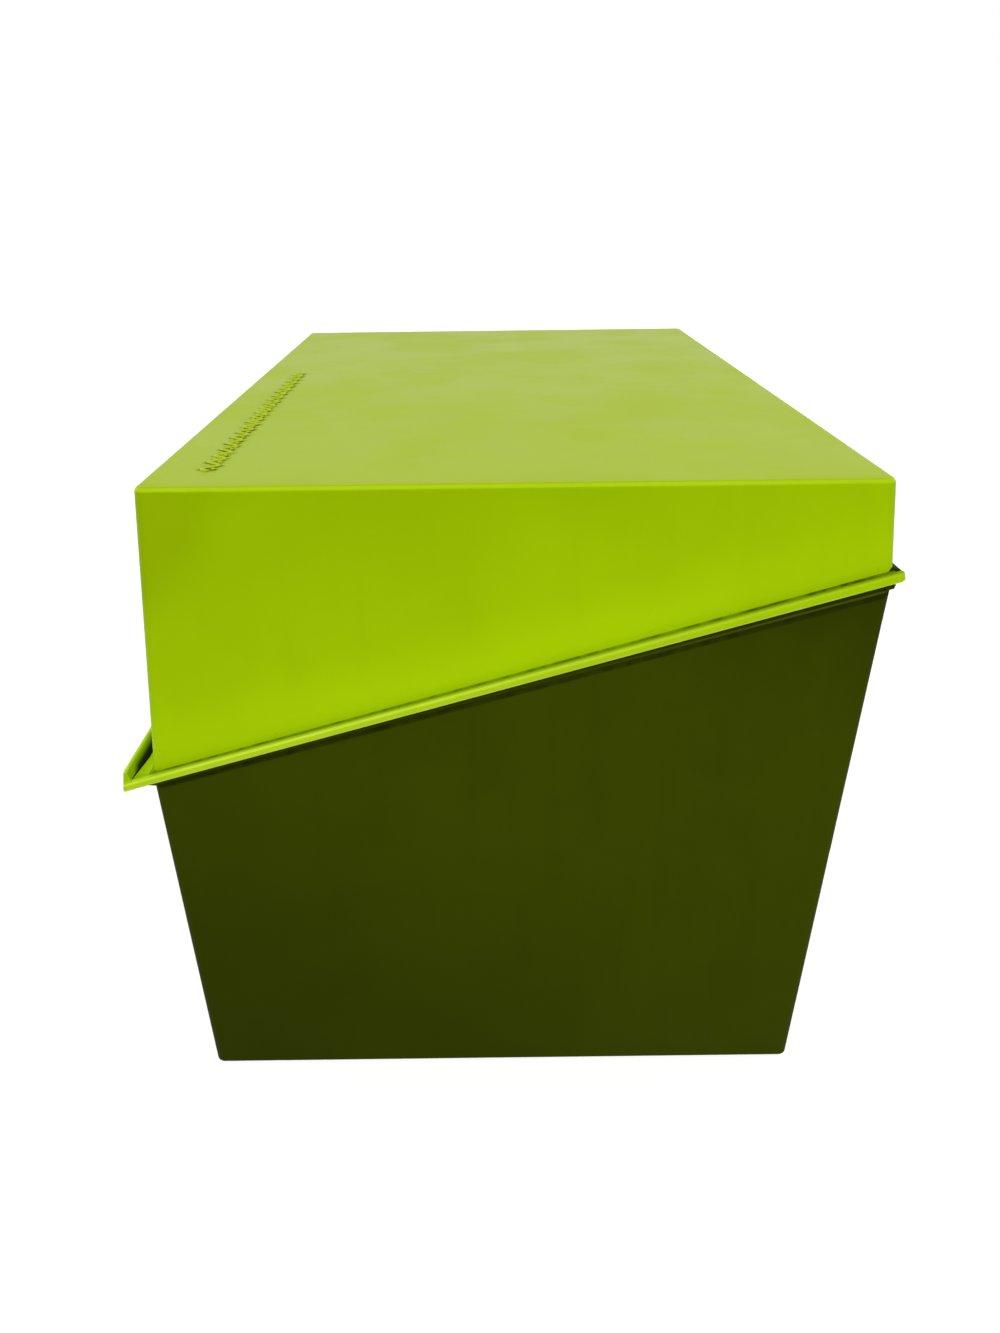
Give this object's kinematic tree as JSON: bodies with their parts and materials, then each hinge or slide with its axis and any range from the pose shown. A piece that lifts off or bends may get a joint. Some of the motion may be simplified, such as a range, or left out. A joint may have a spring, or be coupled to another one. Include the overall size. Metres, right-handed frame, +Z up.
{
  "type": "recipe box",
  "caption": "Tapered plastic card box whose cap lid meets the base on a sloping rim, with a finger lip along the front and a knuckle hinge along the back.",
  "frame": {"origin": "middle of the base's flat underside, the face the box stands on", "axes": "+Z up, -Y towards the front with the finger lip, +Y towards the hinge, X across the box"},
  "size_m": [0.1692, 0.1168, 0.1085],
  "materials": {
    "base_plastic": "satin",
    "lid_plastic": "satin",
    "rod_steel": "satin"
  },
  "bodies": {
    "base": {"base": "base_plastic", "hinge_rod": "rod_steel"},
    "lid": {"lid": "lid_plastic"}
  },
  "joints": [
    {"name": "lid_hinge", "type": "hinge", "parent": "base", "child": "lid", "pos_m": [0, 0.05675, 0.09426], "axis": [-1, 0, 0], "range_deg": [0, 110]}
  ]
}
